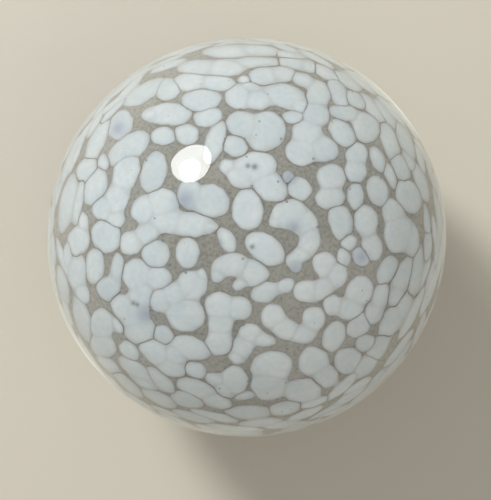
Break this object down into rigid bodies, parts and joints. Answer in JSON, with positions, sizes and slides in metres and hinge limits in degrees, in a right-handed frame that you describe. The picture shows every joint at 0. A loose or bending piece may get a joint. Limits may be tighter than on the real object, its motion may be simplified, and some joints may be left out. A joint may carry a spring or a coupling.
{
  "type": "glass ball",
  "caption": "Hollow hand-blown glass ball with white opal chips cased under clear glass, on a small ground flat that keeps it from rolling.",
  "frame": {"origin": "centre of the ground base, on the surface that the ball stands on", "axes": "+Z from the base up through the ball's centre; the wall is round about Z"},
  "size_m": [0.1, 0.1, 0.0988],
  "materials": {
    "clear_glass": "fire-polished",
    "smoky_glass": "cloudy",
    "opal_glass": "opal white"
  },
  "bodies": {
    "root": {"clear_casing": "clear_glass", "inner_bubble": "smoky_glass", "closing_dab": "clear_glass", "opal_chip_01": "opal_glass", "opal_chip_02": "opal_glass", "opal_chip_03": "opal_glass", "opal_chip_04": "opal_glass", "opal_chip_05": "opal_glass", "opal_chip_06": "opal_glass", "opal_chip_07": "opal_glass", "opal_chip_08": "opal_glass", "opal_chip_09": "opal_glass", "opal_chip_10": "opal_glass", "opal_chip_11": "opal_glass", "opal_chip_12": "opal_glass", "opal_chip_13": "opal_glass", "opal_chip_14": "opal_glass", "opal_chip_15": "opal_glass", "opal_chip_16": "opal_glass", "opal_chip_17": "opal_glass", "opal_chip_18": "opal_glass", "opal_chip_19": "opal_glass", "opal_chip_20": "opal_glass", "opal_chip_21": "opal_glass", "opal_chip_22": "opal_glass", "opal_chip_23": "opal_glass", "opal_chip_24": "opal_glass", "opal_chip_25": "opal_glass", "opal_chip_26": "opal_glass", "opal_chip_27": "opal_glass", "opal_chip_28": "opal_glass", "opal_chip_29": "opal_glass", "opal_chip_30": "opal_glass", "opal_chip_31": "opal_glass", "opal_chip_32": "opal_glass", "opal_chip_33": "opal_glass", "opal_chip_34": "opal_glass", "opal_chip_35": "opal_glass", "opal_chip_36": "opal_glass", "opal_chip_37": "opal_glass", "opal_chip_38": "opal_glass", "opal_chip_39": "opal_glass", "opal_chip_40": "opal_glass", "opal_chip_41": "opal_glass", "opal_chip_42": "opal_glass", "opal_chip_43": "opal_glass", "opal_chip_44": "opal_glass", "opal_chip_45": "opal_glass", "opal_chip_46": "opal_glass", "opal_chip_47": "opal_glass", "opal_chip_48": "opal_glass", "opal_chip_49": "opal_glass", "opal_chip_50": "opal_glass", "opal_chip_51": "opal_glass", "opal_chip_52": "opal_glass", "opal_chip_53": "opal_glass", "opal_chip_54": "opal_glass", "opal_chip_55": "opal_glass", "opal_chip_56": "opal_glass"}
  },
  "joints": []
}
